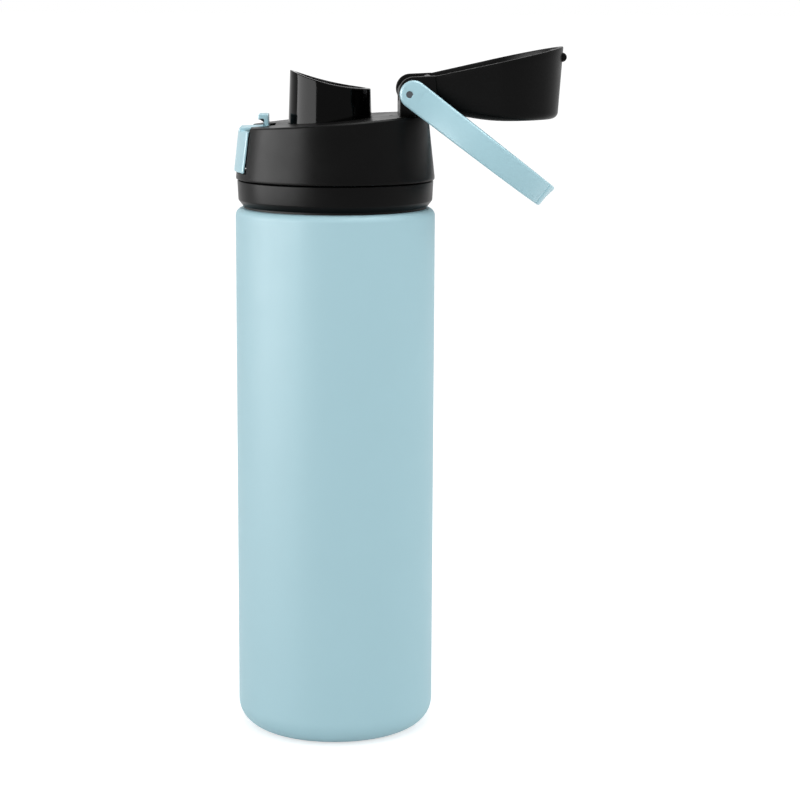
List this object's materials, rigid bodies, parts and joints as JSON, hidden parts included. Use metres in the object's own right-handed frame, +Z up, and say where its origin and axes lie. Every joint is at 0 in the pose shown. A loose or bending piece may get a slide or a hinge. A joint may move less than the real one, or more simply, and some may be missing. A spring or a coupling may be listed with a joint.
{
  "type": "water bottle",
  "caption": "Double-walled steel sports bottle with a screw lid, a flip cover held by a push latch over a drinking spout, and a folding carry loop.",
  "frame": {"origin": "centre of the foot, on the bottle's axis, in the plane that the bottle stands on", "axes": "+Z up along the bottle's axis, +X towards the hinge of the cover and handle, -X towards the latch, +Y to the rear"},
  "size_m": [0.1209, 0.073, 0.2536],
  "materials": {
    "body_paint": "satin powder coat, light blue",
    "steel": "brushed",
    "spring_steel": "bright wire",
    "black_plastic": "fine moulded texture",
    "black_gloss": "gloss",
    "blue_plastic": "satin",
    "silicone": "matte, translucent grey"
  },
  "bodies": {
    "bottle": {"outer_shell": "body_paint", "outer_base": "steel", "vacuum_plug": "steel", "inner_flask": "steel", "getter": "steel", "collar_ring": "black_plastic", "collar_seal": "silicone"},
    "gasket": {"neck_gasket": "silicone"},
    "lid": {"lid_body": "black_plastic", "lid_liner": "black_plastic", "spout": "black_gloss", "spout_gasket": "silicone", "vent_valve": "silicone", "hinge_pin": "steel", "cover_spring": "spring_steel", "latch_spring": "spring_steel"},
    "cover": {"flip_cover": "black_plastic", "cover_seal": "silicone", "seal_carrier": "black_plastic"},
    "handle": {"carry_handle": "blue_plastic"},
    "latch": {"latch_button": "blue_plastic"}
  },
  "joints": [
    {"name": "lid_rise", "type": "slide", "parent": "bottle", "child": "gasket", "axis": [0, 0, 1], "range_m": [0, 0.006]},
    {"name": "lid_turn", "type": "hinge", "parent": "gasket", "child": "lid", "pos_m": [0, 0, 0.2168], "axis": [0, 0, 1], "range_deg": [0, 540]},
    {"name": "cover_open", "type": "hinge", "parent": "lid", "child": "cover", "pos_m": [0.0262, 0, 0.2369], "axis": [0, 1, 0], "range_deg": [-175.4, 0], "stiffness_Nm_per_rad": 0.012, "springref_deg": 28.65, "deforming": ["cover_spring"]},
    {"name": "handle_swing", "type": "hinge", "parent": "lid", "child": "handle", "pos_m": [0.0262, 0, 0.2369], "axis": [0, 1, 0], "range_deg": [-222, 0]},
    {"name": "latch_press", "type": "slide", "parent": "lid", "child": "latch", "axis": [1, 0, 0], "range_m": [0, 0.0015], "stiffness_N_per_m": 700, "springref_m": -0.001, "deforming": ["latch_spring"]}
  ],
  "couplings": [
    {"joint": "lid_rise", "follows": "lid_turn", "m_per_rad": 0.00063661}
  ]
}
